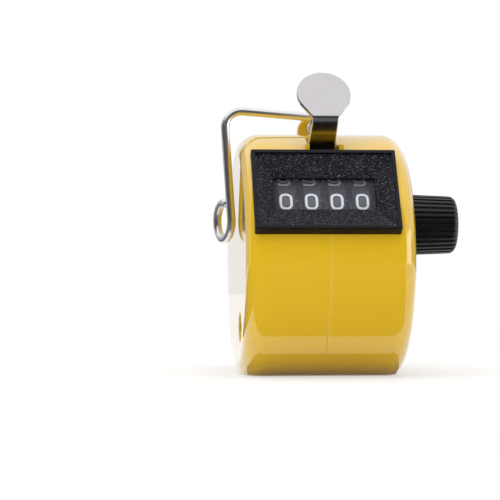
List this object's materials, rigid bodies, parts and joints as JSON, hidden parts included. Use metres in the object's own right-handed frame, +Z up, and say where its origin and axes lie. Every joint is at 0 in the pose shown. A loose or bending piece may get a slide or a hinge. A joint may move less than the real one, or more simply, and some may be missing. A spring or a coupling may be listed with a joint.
{
  "type": "hand tally counter",
  "caption": "Hand-held mechanical tally counter: drum case, thumb lever, number wheels behind a window, reset knob and a swinging wire finger bail.",
  "frame": {"origin": "on the flat base, at the middle of the case's width and under the drum's axis", "axes": "+X to the right, towards the reset knob, +Y to the back, +Z up; the window looks to -Y"},
  "size_m": [0.0543, 0.0597, 0.0697],
  "materials": {
    "case_yellow": "polished moulded plastic",
    "bezel_black": "spark-textured moulded plastic",
    "clear_pane": "clear moulded pane",
    "zinc_steel": "bright zinc-plated steel",
    "screw_steel": "zinc-plated screw",
    "wheel_grey": "dark grey moulded wheel with printed numerals",
    "gear_cream": "natural acetal",
    "lever_chrome": "nickel-chrome plate, satin on the thumb disc",
    "brass_parts": "plain stamped brass",
    "spring_steel": "bright spring steel",
    "knob_black": "ribbed moulded plastic",
    "bail_chrome": "bright chromed wire"
  },
  "bodies": {
    "case": {"left_shell": "case_yellow", "right_shell": "case_yellow", "bezel": "bezel_black", "window_pane": "clear_pane", "frame_plate_left": "zinc_steel", "frame_plate_right": "zinc_steel", "frame_pillar_upper": "zinc_steel", "frame_pillar_lower": "zinc_steel", "lever_pin": "zinc_steel", "pinion_shaft": "zinc_steel", "case_screw_lower_front": "screw_steel", "case_screw_lower_rear": "screw_steel", "case_screw_upper_rear": "screw_steel", "return_spring": "spring_steel", "backstop_spring": "brass_parts", "knob_bush": "brass_parts"},
    "reset": {"wheel_shaft": "zinc_steel", "reset_knob": "knob_black", "shaft_clip": "spring_steel"},
    "units": {"wheel_units": "wheel_grey", "ratchet_wheel": "brass_parts"},
    "tens": {"wheel_tens": "wheel_grey"},
    "hundreds": {"wheel_hundreds": "wheel_grey"},
    "thousands": {"wheel_thousands": "wheel_grey"},
    "pinion_tens": {"carry_pinion_tens": "gear_cream"},
    "pinion_hundreds": {"carry_pinion_hundreds": "gear_cream"},
    "pinion_thousands": {"carry_pinion_thousands": "gear_cream"},
    "lever": {"thumb_lever": "lever_chrome", "pawl_pin": "zinc_steel", "pawl_spring": "spring_steel"},
    "pawl": {"feed_pawl": "brass_parts"},
    "bail": {"finger_bail": "bail_chrome"}
  },
  "joints": [
    {"name": "lever_press", "type": "hinge", "parent": "case", "child": "lever", "pos_m": [0, 0.005, 0.045], "axis": [1, 0, 0], "range_deg": [0, 8], "stiffness_Nm_per_rad": 0.05, "springref_deg": -20.05, "deforming": ["return_spring"]},
    {"name": "units_spin", "type": "hinge", "parent": "case", "child": "units", "pos_m": [0, -0.0122, 0.03471], "axis": [-1, 0, 0], "range_deg": [0, 36]},
    {"name": "reset_turn", "type": "hinge", "parent": "case", "child": "reset", "pos_m": [0, -0.0122, 0.03471], "axis": [-1, 0, 0], "continuous": true},
    {"name": "tens_spin", "type": "hinge", "parent": "case", "child": "tens", "pos_m": [0, -0.0122, 0.03471], "axis": [-1, 0, 0], "continuous": true},
    {"name": "hundreds_spin", "type": "hinge", "parent": "case", "child": "hundreds", "pos_m": [0, -0.0122, 0.03471], "axis": [-1, 0, 0], "continuous": true},
    {"name": "thousands_spin", "type": "hinge", "parent": "case", "child": "thousands", "pos_m": [0, -0.0122, 0.03471], "axis": [-1, 0, 0], "continuous": true},
    {"name": "pinion_tens_spin", "type": "hinge", "parent": "case", "child": "pinion_tens", "pos_m": [0, -0.00635, 0.02458], "axis": [-1, 0, 0], "continuous": true},
    {"name": "pinion_hundreds_spin", "type": "hinge", "parent": "case", "child": "pinion_hundreds", "pos_m": [0, -0.00635, 0.02458], "axis": [-1, 0, 0], "continuous": true},
    {"name": "pinion_thousands_spin", "type": "hinge", "parent": "case", "child": "pinion_thousands", "pos_m": [0, -0.00635, 0.02458], "axis": [-1, 0, 0], "continuous": true},
    {"name": "pawl_lift", "type": "hinge", "parent": "lever", "child": "pawl", "pos_m": [0.0105, -0.00948, 0.04438], "axis": [1, 0, 0], "range_deg": [0, 12], "stiffness_Nm_per_rad": 0.002, "springref_deg": -11.46},
    {"name": "bail_swing", "type": "hinge", "parent": "case", "child": "bail", "pos_m": [-0.0006, 0.007, 0.058], "axis": [0, 1, 0], "range_deg": [0, 95]}
  ],
  "couplings": [
    {"joint": "units_spin", "follows": "lever_press", "ratio": 4.5},
    {"joint": "tens_spin", "follows": "reset_turn", "ratio": 1},
    {"joint": "hundreds_spin", "follows": "reset_turn", "ratio": 1},
    {"joint": "thousands_spin", "follows": "reset_turn", "ratio": 1},
    {"joint": "pinion_tens_spin", "follows": "reset_turn", "ratio": -3.3333},
    {"joint": "pinion_hundreds_spin", "follows": "reset_turn", "ratio": -3.3333},
    {"joint": "pinion_thousands_spin", "follows": "reset_turn", "ratio": -3.3333}
  ]
}
